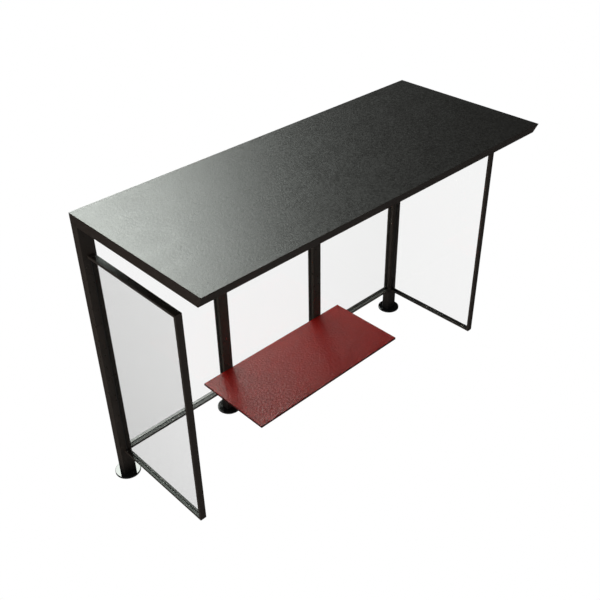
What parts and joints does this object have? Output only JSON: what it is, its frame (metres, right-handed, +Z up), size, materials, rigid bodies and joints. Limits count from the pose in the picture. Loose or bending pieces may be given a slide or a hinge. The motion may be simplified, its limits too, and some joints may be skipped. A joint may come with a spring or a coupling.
{
  "type": "computer desk",
  "caption": "Slim black desk on a row of rear posts, with glass back panes, framed glass end wings, a low red tray and round levelling feet.",
  "frame": {"origin": "bottom centre of the whole desk with its feet, on the floor", "axes": "+X along the desk to the sitter's right, +Y to the back, +Z up"},
  "size_m": [1.029, 0.4347, 0.72],
  "materials": {
    "black_board": "black laminate on particle board, satin with a fine pearl speckle",
    "black_frame": "satin black powder coat with a slight warm cast, on steel tube and flat bar",
    "clear_glass": "clear float glass with ground edges",
    "red_tray": "semi-gloss red powder coat with a fine speckle, on steel sheet",
    "black_disc": "gloss black enamel on steel",
    "zinc_steel": "zinc-plated steel",
    "grey_plastic": "dark grey nylon",
    "glazing_rubber": "matt black rubber"
  },
  "bodies": {
    "desk": {"back_pane_centre": "clear_glass", "back_pane_left": "clear_glass", "back_pane_right": "clear_glass", "back_pane_strips_centre": "glazing_rubber", "back_pane_strips_left": "glazing_rubber", "back_pane_strips_right": "glazing_rubber", "board_arm_end_left": "black_frame", "board_arm_end_right": "black_frame", "board_arm_middle_left": "black_frame", "board_arm_middle_right": "black_frame", "board_screws": "zinc_steel", "cleat_screws": "zinc_steel", "desk_board": "black_board", "leg_end_left": "black_frame", "leg_end_right": "black_frame", "leg_middle_left": "black_frame", "leg_middle_right": "black_frame", "leg_plug_end_left": "grey_plastic", "leg_plug_end_right": "grey_plastic", "leg_plug_middle_left": "grey_plastic", "leg_plug_middle_right": "grey_plastic", "low_rail_centre": "black_frame", "low_rail_left": "black_frame", "low_rail_right": "black_frame", "top_rail_centre": "black_frame", "top_rail_left": "black_frame", "top_rail_right": "black_frame", "tray": "red_tray", "tray_cleat_left": "black_frame", "tray_cleat_right": "black_frame", "tray_nuts": "zinc_steel", "tray_studs": "zinc_steel", "wall_rivet_nuts": "zinc_steel", "wing_low_rail_left": "black_frame", "wing_low_rail_right": "black_frame", "wing_pane_left": "clear_glass", "wing_pane_right": "clear_glass", "wing_pane_strips_left": "glazing_rubber", "wing_pane_strips_right": "glazing_rubber", "wing_post_left": "black_frame", "wing_post_right": "black_frame", "wing_top_rail_left": "black_frame", "wing_top_rail_right": "black_frame"},
    "foot_end_left": {"foot_disc_end_left": "black_disc", "foot_stud_end_left": "zinc_steel"},
    "foot_middle_left": {"foot_disc_middle_left": "black_disc", "foot_stud_middle_left": "zinc_steel"},
    "foot_middle_right": {"foot_disc_middle_right": "black_disc", "foot_stud_middle_right": "zinc_steel"},
    "foot_end_right": {"foot_disc_end_right": "black_disc", "foot_stud_end_right": "zinc_steel"}
  },
  "joints": [
    {"name": "foot_height_end_left", "type": "slide", "parent": "desk", "child": "foot_end_left", "axis": [0, 0, -1], "range_m": [0, 0.01]},
    {"name": "foot_height_middle_left", "type": "slide", "parent": "desk", "child": "foot_middle_left", "axis": [0, 0, -1], "range_m": [0, 0.01]},
    {"name": "foot_height_middle_right", "type": "slide", "parent": "desk", "child": "foot_middle_right", "axis": [0, 0, -1], "range_m": [0, 0.01]},
    {"name": "foot_height_end_right", "type": "slide", "parent": "desk", "child": "foot_end_right", "axis": [0, 0, -1], "range_m": [0, 0.01]}
  ]
}
